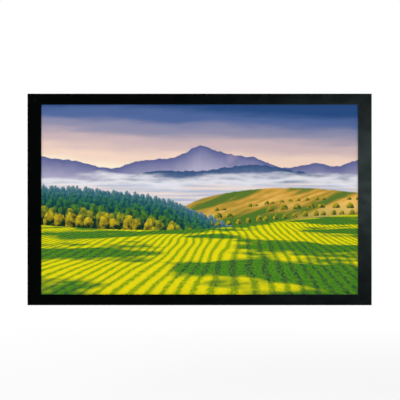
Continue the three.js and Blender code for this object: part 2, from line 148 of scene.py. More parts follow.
class ScreenSizes(bpy.types.PropertyGroup):
    """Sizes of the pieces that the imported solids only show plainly."""

    rim_radius: length("Rim radius", "Rounding of the frame's outer front edge", 5)
    lip_radius: length("Lip radius", "Rounding of the edge next to the picture", 3)
    face_fall: length("Face fall", "How far the face falls from the rim to the lip", 9)
    velvet_thickness: length("Velvet thickness", "Backing and pile together", 0.8)
    velvet_return: length("Velvet return", "Velvet turned in behind the lip", 6)
    lip_depth: length("Lip depth", "Back of the lip, from the frame's back", 19.1)
    film_thickness: length("Film thickness", "Thickness of the screen film", 0.5)
    hem_gap: length("Hem gap", "Play between a rod and its hem", 0.3)
    rod_radius: length("Rod radius", "Radius of a tension rod", 2.5)
    rod_inset: length("Rod inset", "From the picture's edge out to a rod", 22)
    rod_overrun: length("Rod overrun", "How far a rod passes the picture's corner", 2)
    weld_reach: length("Weld reach", "From a rod in to the hem's weld", 16)
    hem_overrun: length("Hem overrun", "How far a hem passes the picture's corner", 4)
    notch_width: length("Notch width", "Gap in a hem at each spring", 14)
    notch_inner: length("Notch depth", "From a rod in to the end of a notch", 6)
    wire_radius: length("Wire radius", "Radius of the spring wire", 0.6)
    coil_radius: length("Coil radius", "Outer radius of a spring's coil", 3.5)
    coil_length: length("Coil length", "Length of a spring's coil", 12)
    coil_start: length("Coil start", "From a rod to the spring's coil", 5)
    spring_reach: length("Spring reach", "From a rod to the rail's rib", 24)
    rib_depth: length("Rib depth", "Back of the rib's lip, from the frame's back", 12)
    rib_lip: length("Rib lip", "Reach of the rib's lip", 3)
    rib_lip_thickness: length("Rib lip thickness", "Thickness of the rib's lip", 2)
    screw_radius: length("Screw radius", "Radius of a corner screw's shank", 2.1)
    screw_head_radius: length("Screw head radius", "Radius of a corner screw's head", 4)
    screw_head_height: length("Screw head height", "Height of a corner screw's head", 2.2)
    socket_width: length("Socket width", "Hexagon socket, across its flats", 2.6)
    socket_depth: length("Socket depth", "Depth of the hexagon socket", 1.2)
    cross_springs: IntProperty(name="Springs across", description="Springs on top and bottom", default=12)
    side_springs: IntProperty(name="Springs up", description="Springs on each side", default=7)
    coil_turns: IntProperty(name="Coil turns", description="Turns in a spring's coil", default=9)


class ScreenColours(bpy.types.PropertyGroup):
    """Colours of the finishes."""

    velvet: colour("Velvet", "Black velvet pile", "#030404")
    film: colour("Screen film", "Matt white coating", "#f0f0ed")
    film_back: colour("Film back", "Black back of the film", "#141517")
    aluminium: colour("Aluminium", "Mill-finish extrusion", "#c3c5c7")
    zinc: colour("Zinc", "Bright zinc plating", "#c2c6ca")
    spring: colour("Spring wire", "Drawn spring steel", "#cbccca")
    rod: colour("Rod", "Drawn glass fibre rod", "#d9d6c4")
    powder: colour("Powder coat", "Fine-textured black powder coat", "#1b1c1e")
    nylon: colour("Nylon", "Moulded black nylon", "#1c1d1e")
    floor: colour("Floor", "Pale studio floor", "#f4f4f4")


def add(tree, kind, *values, sockets=None, **settings):
    """Adds a node, fills or links its sockets, and returns its first live output.

    A kind may name its main setting too, as in "Math ADD". Values go to the live sockets in their order.
    """
    kind, *choice = kind.split()
    node = tree.nodes.new(f"ShaderNode{kind}")
    settings.update(zip([MAIN_SETTINGS.get(kind, "operation")], choice))
    for name, value in settings.items():
        setattr(node, name, value)
    live = [socket for socket in node.inputs if socket.enabled]
    for socket, value in [*zip(live, values), *((node.inputs[k], v) for k, v in (sockets or {}).items())]:
        if isinstance(value, bpy.types.NodeSocket):
            tree.links.new(value, socket)
        elif value is not None:
            socket.default_value = value
    return next((socket for socket in node.outputs if socket.enabled), None)


def new_material(name):
    """An empty node material, with its tree and the object's own coordinates."""
    material = bpy.data.materials.new(name)
    material.use_nodes = True
    tree = material.node_tree
    tree.nodes.clear()
    return material, tree, add(tree, "TexCoord").node.outputs["Object"]


def finish_material(material, look):
    """Gives a material its surface: look holds the sockets and what fills them."""
    tree = material.node_tree
    add(tree, "OutputMaterial", add(tree, "BsdfPrincipled", sockets=look))
    return material


def velvet_material(colours):
    """Flocked velvet: a short dense pile that swallows light, and greys a little where a lamp is near."""
    material, tree, place = new_material("flocked_black_velvet")
    # The pile's tufts are about 0.3 mm apart, and are drawn twice as coarse so that they show.
    pile = add(tree, "TexNoise", place, 1 / (0.6 * MM), 1)
    # Patches of nap that lean another way, as wide as a hand's stroke.
    patch = (90 * MM, 60 * MM, 60 * MM)
    strokes = add(tree, "VectorMath MULTIPLY", place, [1 / size for size in patch])
    nap = add(tree, "TexNoise", strokes, 1, 2)
    shade = add(tree, "MapRange", nap, *NOISE_CORE, 0.75, 1.35)
    grain = add(tree, "MapRange", pile, *NOISE_CORE, 0.4, 1.6)
    both = add(tree, "Math MULTIPLY", shade, grain)
    base = add(tree, "VectorMath SCALE", tuple(colours.velvet), both)
    bump = add(tree, "Bump", sockets={"Strength": 1.0, "Distance": 0.2 * MM, "Height": pile})
    look = {"Base Color": base, "Roughness": 1.0, "Specular IOR Level": 0.0, "Normal": bump}
    look |= {"Sheen Weight": 0.06, "Sheen Roughness": 0.5, "Sheen Tint": linear("#8a9a9c")}
    return finish_material(material, look)


def aluminium_material(colours, name, grain):
    """Mill-finish aluminium: soft grey reflections, drawn out in faint die lines along the extrusion."""
    material, tree, place = new_material(name)
    drawn = add(tree, "VectorMath MULTIPLY", place, [1 / size for size in grain])
    lines = add(tree, "TexNoise", drawn, 1, 4)
    cloud = add(tree, "TexNoise", place, 1 / (40 * MM), 2)
    tone = add(tree, "MapRange", lines, *NOISE_SPAN, 0.9, 1.06)
    base = add(tree, "VectorMath SCALE", tuple(colours.aluminium), tone)
    rough = add(tree, "MapRange", cloud, *NOISE_SPAN, 0.36, 0.48)
    bump = add(tree, "Bump", sockets={"Strength": 0.15, "Distance": 0.05 * MM, "Height": lines})
    look = {"Base Color": base, "Metallic": 1.0, "Roughness": rough, "Normal": bump}
    return finish_material(material, look)


def metal_material(name, base, roughness, mottle, grain):
    """Plated or drawn metal with a faint mottle, whose grain is in metres."""
    material, tree, place = new_material(name)
    noise = add(tree, "TexNoise", place, 1 / grain, 3)
    tone = add(tree, "MapRange", noise, *NOISE_SPAN, 1 - mottle, 1 + mottle)
    shade = add(tree, "VectorMath SCALE", tuple(base), tone)
    rough = add(tree, "MapRange", noise, *NOISE_SPAN, roughness - 0.05, roughness + 0.05)
    return finish_material(material, {"Base Color": shade, "Metallic": 1.0, "Roughness": rough})


def moulded_material(name, base, roughness, texture, height, shine=0.5):
    """Plastic or powder coat: one colour, with a fine surface texture of a size and height in metres."""
    material, tree, place = new_material(name)
    noise = add(tree, "TexNoise", place, 1 / texture, 2)
    tone = add(tree, "MapRange", noise, *NOISE_SPAN, 0.88, 1.12)
    shade = add(tree, "VectorMath SCALE", tuple(base), tone)
    bump = add(tree, "Bump", sockets={"Strength": 0.5, "Distance": height, "Height": noise})
    look = {"Base Color": shade, "Roughness": roughness, "Specular IOR Level": shine, "Normal": bump}
    return finish_material(material, look)


def skyline(tree, side, points, smooth=True):
    """A skyline's height over the place across the picture, through points that run from 0 to 1."""
    across = add(tree, "MapRange", side, -PICTURE_SIDE, PICTURE_SIDE, 0, 1)
    height = add(tree, "FloatCurve", 1.0, across)
    curve = height.node.mapping.curves[0]
    for x, y in points[1:-1]:
        curve.points.new(x, y)
    for point, place in zip(curve.points, points):
        point.location = place
        point.handle_type = "AUTO" if smooth else "VECTOR"
    height.node.mapping.update()
    return height


def set_steps(ramp_node, steps, easing="LINEAR"):
    """Sets a ramp node to a run of colours, given as (place, hex colour) from 0 to 1."""
    ramp = ramp_node.color_ramp
    ramp.interpolation = easing
    ramp.elements[0].color = linear(steps[0][1])
    ramp.elements[1].color = linear(steps[-1][1])
    for place, shade in steps[1:-1]:
        ramp.elements.new(place).color = linear(shade)


def drawn_noise(tree, flat, stretch, scale, detail):
    """Noise in streaks or grains: stretch is how often it comes across the picture and up it."""
    stretched = add(tree, "VectorMath MULTIPLY", flat, (*stretch, 1))
    return add(tree, "TexNoise 2D", stretched, scale, detail)


def cover(tree, height, up, softness):
    """1 below a skyline and 0 above it, with a soft edge."""
    below = add(tree, "Math SUBTRACT", height, up)
    return add(tree, "MapRange", below, -softness, softness, 0, 1)


def roughened(tree, flat, height, scale, amount):
    """A skyline with a ragged edge."""
    noise = add(tree, "TexNoise 2D", flat, scale, 4)
    swing = add(tree, "MapRange", noise, 0, 1, -amount, amount)
    return add(tree, "Math ADD", height, swing)


def tree_row(tree, view, under, base, crown, spread, seed, tones, share=1.0, rooted=False):
    """A row of round trees on a base line: crown is the least and greatest height, spread the spacing."""
    flat, side, up = view
    place = add(tree, "MapRange", side, 0, 1, seed, seed + 1 / spread, clamp=False)
    # Rooted trees stand free of each other, and the others crowd into a wood.
    jitter, narrowing = (0.4, 3.4) if rooted else (0.85, 1.7)
    cell = add(tree, "TexVoronoi 1D", place, 1, sockets={"Randomness": jitter}).node.outputs
    chance = add(tree, "SeparateColor", cell["Color"]).node.outputs
    offset = add(tree, "Math SUBTRACT", place, cell["W"])
    offset = add(tree, "Math MULTIPLY", offset, narrowing)
    square = add(tree, "Math MULTIPLY", offset, offset)
    dome = add(tree, "Math SUBTRACT", 1.0, square, use_clamp=True)
    dome = add(tree, "Math POWER", dome, 0.5)
    tall = add(tree, "MapRange", chance["Red"], 0, 1, *crown)
    rise = add(tree, "Math MULTIPLY_ADD", dome, tall, base)
    tufts = 1.3 * narrowing / spread
    leaves = add(tree, "TexNoise 2D", flat, tufts, 5)
    ragged = add(tree, "MapRange", leaves, 0, 1, -0.35 * crown[1], 0.35 * crown[1])
    top = add(tree, "Math ADD", rise, ragged)
    mask = cover(tree, top, up, 0.0022)
    above = add(tree, "Math SUBTRACT", up, base)
    if rooted:
        foot = add(tree, "MapRange", above, -0.0015, 0.0015, 0, 1)
        mask = add(tree, "Math MULTIPLY", mask, foot)
    if share < 1:
        grown = add(tree, "Math LESS_THAN", chance["Green"], share)
        inside = add(tree, "Math LESS_THAN", square, 0.98)
        mask = add(tree, "Math MULTIPLY", mask, grown)
        mask = add(tree, "Math MULTIPLY", mask, inside)
    above = add(tree, "Math DIVIDE", above, tall)
    lit = add(tree, "Math MULTIPLY_ADD", above, 0.55, 0.12)
    lit = add(tree, "Math MULTIPLY_ADD", offset, -0.32, lit)
    glint = add(tree, "MapRange", leaves, *NOISE_SPAN, -0.3, 0.35)
    lit = add(tree, "Math ADD", lit, glint, use_clamp=True)
    crown_colour = add(tree, "Mix RGBA", lit, *tones)
    return add(tree, "Mix RGBA", mask, under, crown_colour)


def paint_sky(tree, view):
    """Dawn: warm low down and at the left, cool high up, with thin streaks of cloud."""
    flat, side, up = view
    streaks = drawn_noise(tree, flat, (1.1, 8), 1.5, 5)
    rise = add(tree, "MapRange", up, 0.64, 1.0, 0, 1, clamp=False)
    rise = add(tree, "Math MULTIPLY_ADD", side, 0.13, rise)
    drift = add(tree, "MapRange", streaks, *NOISE_SPAN, -0.06, 0.06)
    rise = add(tree, "Math ADD", rise, drift)
    sky = add(tree, "ValToRGB", rise)
    set_steps(sky.node, DAWN, "EASE")
    return sky


def paint_range(tree, view, under, points, shades, relief, softness, smooth):
    """A range of hills: its skyline, its lit and shaded faces, and haze towards its foot."""
    flat, side, up = view
    height = roughened(tree, flat, skyline(tree, side, points, smooth), relief * 2.2, 0.012)
    faces = add(tree, "TexNoise 2D", flat, relief, 4, noise_type="RIDGED_MULTIFRACTAL")
    faces = add(tree, "MapRange", faces, 0.5, 1.5, 0, 1)
    rock = add(tree, "Mix RGBA", faces, linear(shades[0]), linear(shades[1]))
    drop = add(tree, "Math SUBTRACT", height, up)
    haze = add(tree, "MapRange", drop, 0.0, 0.11, 0.0, 0.85)
    rock = add(tree, "Mix RGBA", haze, rock, linear(shades[2]))
    return add(tree, "Mix RGBA", cover(tree, height, up, softness), under, rock)


def paint_lake(tree, view, under):
    """A still lake under the hills, with mist on its far shore."""
    flat, _, up = view
    ripples = drawn_noise(tree, flat, (2.5, 60), 1, 3)
    water = add(tree, "MapRange", ripples, *NOISE_CORE, 0, 1)
    water = add(tree, "Mix RGBA", water, linear("#b4bfd6"), linear("#ecdcd6"))
    lake = add(tree, "MapRange", up, 0.588, 0.582, 0, 1)
    under = add(tree, "Mix RGBA", lake, under, water)
    wisps = drawn_noise(tree, flat, (2.2, 11), 1.4, 5)
    lift = add(tree, "MapRange", wisps, 0.25, 0.75, -0.035, 0.035)
    level = add(tree, "Math ADD", up, lift)
    bank = add(tree, "Math SUBTRACT", level, 0.597)
    bank = add(tree, "Math ABSOLUTE", bank)
    bank = add(tree, "MapRange", bank, 0.045, 0.0, 0.0, 0.92, interpolation_type="SMOOTHSTEP")
    return add(tree, "Mix RGBA", bank, under, linear("#e9e8ef"))


def paint_slope(tree, view, under):
    """A golden hillside on the right, with folds of shade across it."""
    flat, side, up = view
    edge = skyline(tree, side, [(0, 0.3), (0.4, 0.42), (0.5, 0.5), (0.66, 0.55), (0.82, 0.56), (1, 0.535)])
    edge = roughened(tree, flat, edge, 30, 0.004)
    tilt = add(tree, "VectorRotate", flat, sockets={"Angle": -0.35}, rotation_type="Z_AXIS")
    folds = drawn_noise(tree, tilt, (1.2, 7.5), 1.5, 6)
    grass = add(tree, "ValToRGB", folds)
    set_steps(grass.node, DRY_GRASS)
    drop = add(tree, "Math SUBTRACT", edge, up)
    low = add(tree, "MapRange", drop, 0.06, 0.2, 0.0, 0.8)
    grass = add(tree, "Mix RGBA", low, grass, linear("#3f7424"))
    return add(tree, "Mix RGBA", cover(tree, edge, up, 0.003), under, grass)


def paint_field(tree, view, under):
    """Rows of a yellow crop that run to one vanishing point, with green between them."""
    flat, side, up = view
    edge = skyline(tree, side, [(0, 0.365), (0.3, 0.34), (0.5, 0.345), (0.75, 0.385), (1, 0.425)])
    edge = roughened(tree, flat, edge, 40, 0.003)
    below = add(tree, "Math SUBTRACT", ROWS_MEET[1], up)
    below = add(tree, "Math MAXIMUM", below, 0.05)
    far = add(tree, "Math DIVIDE", 1.0, below)
    ground = add(tree, "Math SUBTRACT", side, ROWS_MEET[0])
    ground = add(tree, "Math MULTIPLY", ground, far)
    soil = add(tree, "CombineXYZ", ground, far)
    wander = add(tree, "TexNoise 2D", soil, 0.45, 2)
    wander = add(tree, "MapRange", wander, 0, 1, -0.3, 0.3)
    lane = add(tree, "Math ADD", ground, wander)
    lane = add(tree, "Math MULTIPLY", lane, 2 * math.pi * CROP_ROWS)
    lane = add(tree, "Math SINE", lane)
    flowers = drawn_noise(tree, soil, (34, 20), 1, 4)
    speckle = add(tree, "MapRange", flowers, 0.25, 0.75, -0.6, 0.6)
    crest = add(tree, "Math ADD", lane, speckle)
    crest = add(tree, "MapRange", crest, -1.2, 0.5, 0, 1, interpolation_type="SMOOTHSTEP")
    # Low sun leaves long bands of shade across the field.
    bands = drawn_noise(tree, soil, (0.5, 1.5), 1, 4)
    sunny = add(tree, "MapRange", bands, 0.45, 0.56, 0, 1, interpolation_type="SMOOTHSTEP")
    bloom = add(tree, "Mix RGBA", sunny, linear("#2c7d20"), linear("#efe010"))
    leaf = add(tree, "Mix RGBA", sunny, linear("#0b4f30"), linear("#7f9f0e"))
    crop = add(tree, "Mix RGBA", crest, leaf, bloom)
    tint = add(tree, "MapRange", flowers, *NOISE_SPAN, 0, 0.25)
    crop = add(tree, "Mix RGBA", tint, crop, linear("#a9b814"))
    return add(tree, "Mix RGBA", cover(tree, edge, up, 0.002), under, crop)


def paint_picture(tree, place):
    """The picture thrown on the screen, the projector's light painted as the film's colour: dawn, peaks, a
    lake, a wood, a golden slope and a field in rows.
    """
    bottom = FRAME_CENTRE.z - PICTURE_HEIGHT / 2
    shifted = add(tree, "VectorMath ADD", place, (0, 0, -bottom))
    scaled = add(tree, "VectorMath SCALE", shifted, 1 / PICTURE_HEIGHT)
    split = add(tree, "SeparateXYZ", scaled).node.outputs
    side, up = split["X"], split["Z"]
    view = (add(tree, "CombineXYZ", side, up), side, up)
    picture = paint_sky(tree, view)
    far_peaks = [(0, 0.726), (0.12, 0.7), (0.22, 0.66), (0.3, 0.7), (0.42, 0.72), (0.5, 0.785)]
    far_peaks += [(0.6, 0.735), (0.67, 0.725), (0.76, 0.665), (0.87, 0.69), (0.94, 0.67), (1, 0.71)]
    rock = ("#565f93", "#a494b0", "#b9b4cc")
    picture = paint_range(tree, view, picture, far_peaks, rock, 9, 0.002, False)
    near_hills = [(0, 0.605), (0.13, 0.6), (0.25, 0.612), (0.36, 0.648), (0.5, 0.65), (0.68, 0.682)]
    near_hills += [(0.82, 0.645), (1, 0.61)]
    rock = ("#2f4f7c", "#5b6d94", "#93a0c0")
    picture = paint_range(tree, view, picture, near_hills, rock, 16, 0.0018, True)
    picture = paint_lake(tree, view, picture)
    picture = paint_slope(tree, view, picture)
    foot = skyline(tree, side, [(0, 0.556), (0.2, 0.536), (0.36, 0.5), (0.5, 0.42), (0.64, 0.32), (1, 0.1)])
    for row, (shade, light) in enumerate(zip(WOOD_SHADES, WOOD_LIGHTS)):
        base = add(tree, "Math SUBTRACT", foot, row * 0.03)
        crown = (0.012 + 0.0035 * row, 0.026 + 0.008 * row)
        spread = 0.022 + 0.006 * row
        tones = (linear(shade), linear(light))
        picture = tree_row(tree, view, picture, base, crown, spread, 3.7 * row, tones)
    picture = paint_field(tree, view, picture)
    tones = (linear("#0b3a22"), linear("#c9b524"))
    for heights, crown, spread, seed, share in HEDGES:
        line = skyline(tree, side, list(zip((0, 0.55, 0.8, 1), heights)))
        planted = tree_row(tree, view, picture, line, crown, spread, seed, tones, share, True)
        east = add(tree, "Math GREATER_THAN", side, 0.06)
        picture = add(tree, "Mix RGBA", east, picture, planted)
    return picture


def film_front_material(colours):
    """Matt white PVC film: it scatters light evenly, with no hot spot, and shows the thrown picture, whose
    projected light is painted into the film's colour.
    """
    material, tree, place = new_material("matt_white_pvc_film")
    split = add(tree, "SeparateXYZ", place).node.outputs
    side, up = split["X"], split["Z"]
    # The picture passes a little behind the frame's lips, so that no white line shows beside them.
    margin = 1.5 * MM
    inside_x = add(tree, "Math COMPARE", side, 0.0, PICTURE_WIDTH / 2 + margin)
    inside_z = add(tree, "Math COMPARE", up, FRAME_CENTRE.z, PICTURE_HEIGHT / 2 + margin)
    inside = add(tree, "Math MULTIPLY", inside_x, inside_z)
    # The weld is a band pressed with fine dots, 2 mm apart, along the edge of each hem.
    weld_middle, weld_half, dot_gap = 11 * MM, 3.5 * MM, 2 * MM
    past_x = add(tree, "Math ABSOLUTE", side)
    past_x = add(tree, "Math SUBTRACT", past_x, PICTURE_WIDTH / 2)
    past_z = add(tree, "Math SUBTRACT", up, FRAME_CENTRE.z)
    past_z = add(tree, "Math ABSOLUTE", past_z)
    past_z = add(tree, "Math SUBTRACT", past_z, PICTURE_HEIGHT / 2)
    past = add(tree, "Math MAXIMUM", past_x, past_z)
    weld = add(tree, "Math COMPARE", past, weld_middle, weld_half)
    dots = add(tree, "TexVoronoi", place, 1 / dot_gap, sockets={"Randomness": 0.1})
    dots = add(tree, "MapRange", dots, 0.2, 0.5, 0, 1)
    dots = add(tree, "Math MULTIPLY", dots, weld)
    pressed = add(tree, "Bump", sockets={"Strength": 0.6, "Distance": 0.2 * MM, "Height": dots})
    # Painted light: the projector's picture is painted into the film's base colour inside the frame.
    base = add(tree, "Mix RGBA", inside, (*colours.film, 1), paint_picture(tree, place))
    look = {"Base Color": base, "Roughness": 0.95, "Specular IOR Level": 0.1, "Normal": pressed}
    return finish_material(material, look)


def set_material(name, material):
    """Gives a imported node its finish."""
    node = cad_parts[name]
    node.data.materials.clear()
    node.data.materials.append(material)


def new_piece(name, mesh, slot, *materials):
    """A finished piece with its materials, on the screen's one body."""
    piece = bpy.data.objects.new(name, mesh)
    bpy.context.scene.collection.objects.link(piece)
    for material in materials:
        mesh.materials.append(material)
    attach(piece, "root")
    return piece


def built_mesh(bm, name):
    """Turns a finished bmesh into a mesh, whose parts come in the same order on each run."""
    for index, vert in enumerate(sorted(bm.verts, key=lambda v: [round(x / MM, 3) for x in v.co])):
        vert.index = index
    bm.verts.sort()
    for parts in (bm.edges, bm.faces):
        for index, part in enumerate(sorted(parts, key=lambda p: sorted(v.index for v in p.verts))):
            part.index = index
        parts.sort()
    mesh = bpy.data.meshes.new(name)
    bm.to_mesh(mesh)
    bm.free()
    return mesh


def evaluated_mesh(piece):
    """The mesh that a piece's modifiers or curve settings make."""
    bpy.context.view_layer.update()
    graph = bpy.context.evaluated_depsgraph_get()
    return bpy.data.meshes.new_from_object(piece.evaluated_get(graph))


def shade_creased(mesh, angle):
    """Shades a mesh smooth, with creases past an angle in degrees."""
    mesh.shade_smooth()
    mesh.set_sharp_from_angle(angle=math.radians(angle))


def arc(centre, radius, start, end, steps):
    """Points on an arc from one angle to another, in degrees."""
    angles = [math.radians(start + (end - start) * i / steps) for i in range(steps + 1)]
    return [(centre[0] + radius * math.cos(a), centre[1] + radius * math.sin(a)) for a in angles]


def sides():
    """The four sides: name, turn about Y, rail width, length, reach, picture span and count of springs."""
    sizes = bpy.context.scene.screen_sizes
    cross = (CROSS_WIDTH, FRAME_WIDTH, FRAME_HEIGHT / 2, PICTURE_WIDTH, sizes.cross_springs)
    upright = (SIDE_WIDTH, FRAME_HEIGHT, FRAME_WIDTH / 2, PICTURE_HEIGHT, sizes.side_springs)
    return [("top", 0, *cross), ("right", 90, *upright), ("bottom", 180, *cross), ("left", 270, *upright)]


def side_matrix(turn, reach):
    """Takes a side drawn along X, with Z = 0 on its outer edge, to its place in the frame."""
    spin = Matrix.Rotation(math.radians(turn), 4, "Y")
    return Matrix.Translation(FRAME_CENTRE) @ spin @ Matrix.Translation((0, 0, reach))


def spring_places(span, count):
    """Places of the springs along a rod."""
    return [(i - (count - 1) / 2) * span / count for i in range(count)]


def wrap_outline(width, sizes):
    """Section of a velvet wrap, as (drop, depth) points from the frame's outer back edge."""
    depth = FRAME_BACK - FRAME_FRONT
    rim, lip, skin = sizes.rim_radius, sizes.lip_radius, sizes.velvet_thickness
    rim_centre = (rim, depth - rim)
    lip_centre = (width - lip, depth - sizes.face_fall - lip)
    turned_in = width - sizes.velvet_return
    # The face falls at about 6 degrees, so the rim ends and the lip starts at 84.
    face = 84
    outside = [(0, 0), *arc(rim_centre, rim, 180, face, 14), *arc(lip_centre, lip, face, 0, 10)]
    outside += [(width, sizes.lip_depth), (turned_in, sizes.lip_depth)]
    inside = [(turned_in, sizes.lip_depth + skin), (width - skin, sizes.lip_depth + skin)]
    inside += [*arc(lip_centre, lip - skin, 0, face, 10), *arc(rim_centre, rim - skin, face, 180, 14)]
    return [*outside, *inside, (skin, 0)]


class SCREEN_OT_velvet(bpy.types.Operator):
    """Wrap the four rails in velvet, mitred at the corners"""

    bl_idname = "screen.velvet"
    bl_label = "Velvet wraps"

    def execute(self, context):
        sizes = context.scene.screen_sizes
        velvet = velvet_material(context.scene.screen_colours)
        for name, turn, width, long, reach, _, _ in sides():
            run = SIDE_WIDTH / CROSS_WIDTH if turn % 180 == 0 else CROSS_WIDTH / SIDE_WIDTH
            bm = bmesh.new()
            outline = wrap_outline(width, sizes)
            verts = [bm.verts.new((-long / 2, FRAME_BACK - depth, -drop)) for drop, depth in outline]
            face = bm.faces.new(verts)
            grown = bmesh.ops.extrude_face_region(bm, geom=[face])["geom"]
            ends = [v for v in grown if isinstance(v, bmesh.types.BMVert)]
            bmesh.ops.translate(bm, verts=ends, vec=(long, 0, 0))
            # The mitres: each end draws in by the corner's slope for each millimetre of drop.
            for vert in bm.verts:
                vert.co.x = math.copysign((long - MITRE_GAP) / 2 + run * vert.co.z, vert.co.x)
            bmesh.ops.recalc_face_normals(bm, faces=bm.faces)
            bmesh.ops.transform(bm, matrix=side_matrix(turn, reach), verts=bm.verts)
            mesh = built_mesh(bm, f"{name}_velvet")
            shade_creased(mesh, CREASE)
            piece = new_piece(f"{name}_velvet", mesh, "black_velvet", velvet)
            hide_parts(f"{name}_velvet_wrap")
        return {"FINISHED"}


def film_hem(bm, edges, turn, middle, radius, sizes):
    """Folds the film at these edges round its rod and back to the weld."""
    spin = Matrix.Rotation(math.radians(turn), 3, "Y")
    rod = (sizes.rod_inset, middle + radius)
    # The film leaves the flat at the rod's front, at -90 degrees, and the arc starts a step past that.
    steps = [(sizes.rod_inset, middle), *arc(rod, radius, -78, 90, 12)]
    # The flap lies on the film's back, a hair clear of it, so that the two share no face.
    steps += [(sizes.rod_inset - sizes.weld_reach, middle + sizes.film_thickness * 1.04)]
    at = (sizes.rod_inset - sizes.notch_inner, middle)
    for out, back in steps:
        grown = bmesh.ops.extrude_edge_only(bm, edges=edges)["geom"]
        edges = [e for e in grown if isinstance(e, bmesh.types.BMEdge)]
        verts = [v for v in grown if isinstance(v, bmesh.types.BMVert)]
        move = spin @ Vector((0, back - at[1], out - at[0]))
        bmesh.ops.translate(bm, verts=verts, vec=move)
        at = (out, back)


class SCREEN_OT_film(bpy.types.Operator):
    """Make the screen film, with a notched hem folded round each rod"""

    bl_idname = "screen.film"
    bl_label = "Screen film"

    def execute(self, context):
        sizes = context.scene.screen_sizes
        colours = context.scene.screen_colours
        middle = FRAME_BACK - (FILM_FRONT - sizes.film_thickness / 2)
        radius = sizes.rod_radius + sizes.hem_gap + sizes.film_thickness / 2
        margin = sizes.rod_inset - sizes.notch_inner
        ends = {}
        for _, turn, _, _, _, span, count in sides():
            half = span / 2 + sizes.hem_overrun
            places = [-half]
            for x in spring_places(span, count):
                places += [x - sizes.notch_width / 2, x + sizes.notch_width / 2]
            edge = (PICTURE_HEIGHT if turn % 180 == 0 else PICTURE_WIDTH) / 2
            ends[turn] = (places + [half], edge + margin)
        bm = bmesh.new()
        outline, rows = [], {}
        for turn, (places, reach) in sorted(ends.items()):
            spin = Matrix.Translation(FRAME_CENTRE) @ Matrix.Rotation(math.radians(turn), 4, "Y")
            rows[turn] = [bm.verts.new(spin @ Vector((x, 0, reach))) for x in places]
            next_places, next_reach = ends[(turn + 90) % 360]
            corner = Vector((next_reach - margin + sizes.hem_overrun, 0, -next_places[0]))
            outline += [*rows[turn], bm.verts.new(spin @ corner)]
        for vert in outline:
            vert.co.y = middle
        bm.faces.new(outline)
        for turn, row in rows.items():
            # Every second edge of a row is a hem, and those between are the springs' notches.
            edges = [bm.edges.get(pair) for pair in list(zip(row, row[1:]))[::2]]
            film_hem(bm, edges, turn, middle, radius, sizes)
        bmesh.ops.recalc_face_normals(bm, faces=bm.faces)
        plain = max(bm.faces, key=lambda f: f.calc_area())
        if plain.normal.y > 0:
            bmesh.ops.reverse_faces(bm, faces=bm.faces)
        area = sum(f.calc_area() for f in bm.faces)
        mesh = built_mesh(bm, "screen_film_sheet")
        front = film_front_material(colours)
        # Calendered black PVC: an even dull black, whose slight grain keeps it from shining.
        back = moulded_material("calendered_black_pvc", colours.film_back, 0.75, 1.2 * MM, 0.05 * MM, 0.2)
        piece = new_piece("screen_film", mesh, "screen_film", front, back)
        skin = piece.modifiers.new("thickness", "SOLIDIFY")
        skin.thickness = sizes.film_thickness
        skin.offset = 0
        skin.material_offset = 1
        solid = evaluated_mesh(piece)
        piece.modifiers.clear()
        piece.data = solid
        self.unwrap(solid)
        shade_creased(solid, CREASE)
        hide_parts("screen_surface")
        return {"FINISHED"}

    def unwrap(self, mesh):
        """Gives the front the most of the map, and every other face a place of its own below it."""
        layer = mesh.uv_layers.new(name=UV_NAME)
        others = []
        for face in mesh.polygons:
            if face.material_index == 0 and face.area > 1:
                for loop in face.loop_indices:
                    at = mesh.vertices[mesh.loops[loop].vertex_index].co
                    below = (TOP_WRAP[1].z - at.z) / MAP_SPAN
                    layer.data[loop].uv = (0.5 + at.x / MAP_SPAN, MAP_TOP - below)
            else:
                others.append(face)
        # The small faces fill the lowest third of the map's cells.
        columns = math.ceil(math.sqrt(len(others) * 3))
        cell = 1 / columns
        gap = 0.1
        for index, face in enumerate(others):
            low = Vector((index % columns, index // columns)) * cell
            points = [mesh.vertices[v].co for v in face.vertices]
            spread = [max(p[k] for p in points) - min(p[k] for p in points) for k in range(3)]
            first, second = sorted(range(3), key=lambda k: -spread[k])[:2]
            start = [min(p[k] for p in points) for k in (first, second)]
            for loop, point in zip(face.loop_indices, points):
                across = (point[first] - start[0]) / (spread[first] or 1)
                along = (point[second] - start[1]) / (spread[second] or 1)
                inset = Vector((gap, gap)) + (1 - 2 * gap) * Vector((across, along))
                layer.data[loop].uv = low + inset * cell


def spring_path(sizes, rod_drop, rod_depth):
    """The line of a spring's wire, as (across, drop, depth) points: rod hook, coil and rib hook."""
    wire = sizes.wire_radius
    hook = sizes.rod_radius + wire
    clear = 0.3 * MM + wire
    behind = sizes.rib_depth - clear
    over_lip = sizes.rib_depth + sizes.rib_lip_thickness + clear
    lip_end = rod_drop - sizes.spring_reach - sizes.rib_lip
    past_lip = lip_end - clear
    coil_depth = (rod_depth - hook + behind) / 2
    mean = sizes.coil_radius - wire
    path = [(0, rod_drop + dx, rod_depth + dy) for dx, dy in arc((0, 0), hook, 60, -75, 9)]
    first = rod_drop - sizes.coil_start
    neck = 1 * MM
    path.append((0, first + neck, coil_depth))
    per_turn = 14
    count = sizes.coil_turns * per_turn
    for i in range(count + 1):
        angle = 2 * math.pi * i / per_turn
        along = first - sizes.coil_length * i / count
        path.append((mean * math.sin(angle), along, coil_depth - mean * math.cos(angle)))
    path.append((0, first - sizes.coil_length - neck, coil_depth))
    straight, hooked = 5 * MM, 1.6 * MM
    path += [(0, lip_end + straight, behind), (0, past_lip, behind), (0, past_lip, over_lip)]
    return [*path, (0, lip_end + hooked, over_lip)]


